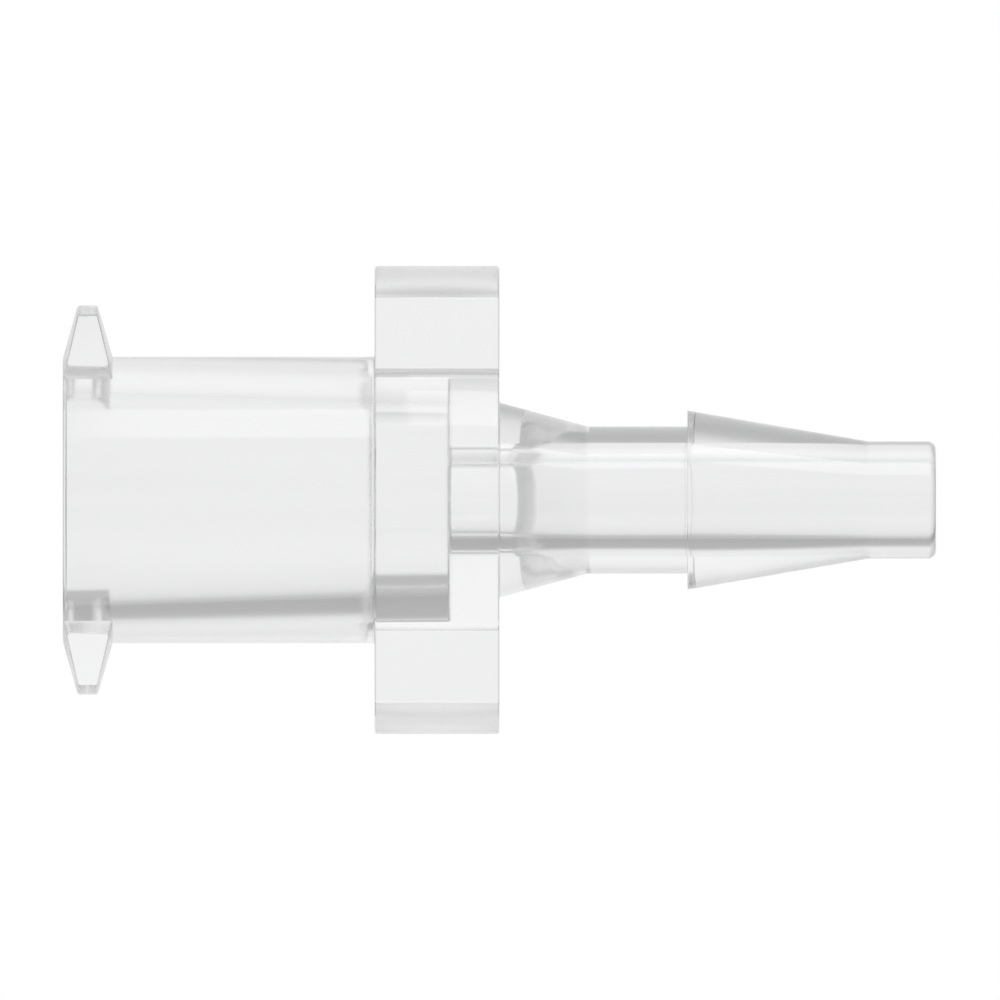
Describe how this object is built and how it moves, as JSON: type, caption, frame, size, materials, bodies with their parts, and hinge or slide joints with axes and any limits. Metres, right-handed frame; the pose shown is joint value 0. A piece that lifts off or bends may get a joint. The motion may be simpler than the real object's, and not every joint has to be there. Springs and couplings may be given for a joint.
{
  "type": "luer lock fitting",
  "caption": "Female luer lock to hose barb adapter, moulded in one piece, with locking lugs at the mouth and finger wings on a thick flange.",
  "frame": {"origin": "centre of the luer mouth face, on the flow axis", "axes": "+Z along the flow axis from the luer mouth to the barb tip; the lugs and the finger wings point along +X and -X"},
  "size_m": [0.0094, 0.0068, 0.0175],
  "materials": {
    "clear_plastic": "smooth moulded clear plastic, slightly milky"
  },
  "bodies": {
    "root": {"luer_fitting": "clear_plastic"}
  },
  "joints": []
}
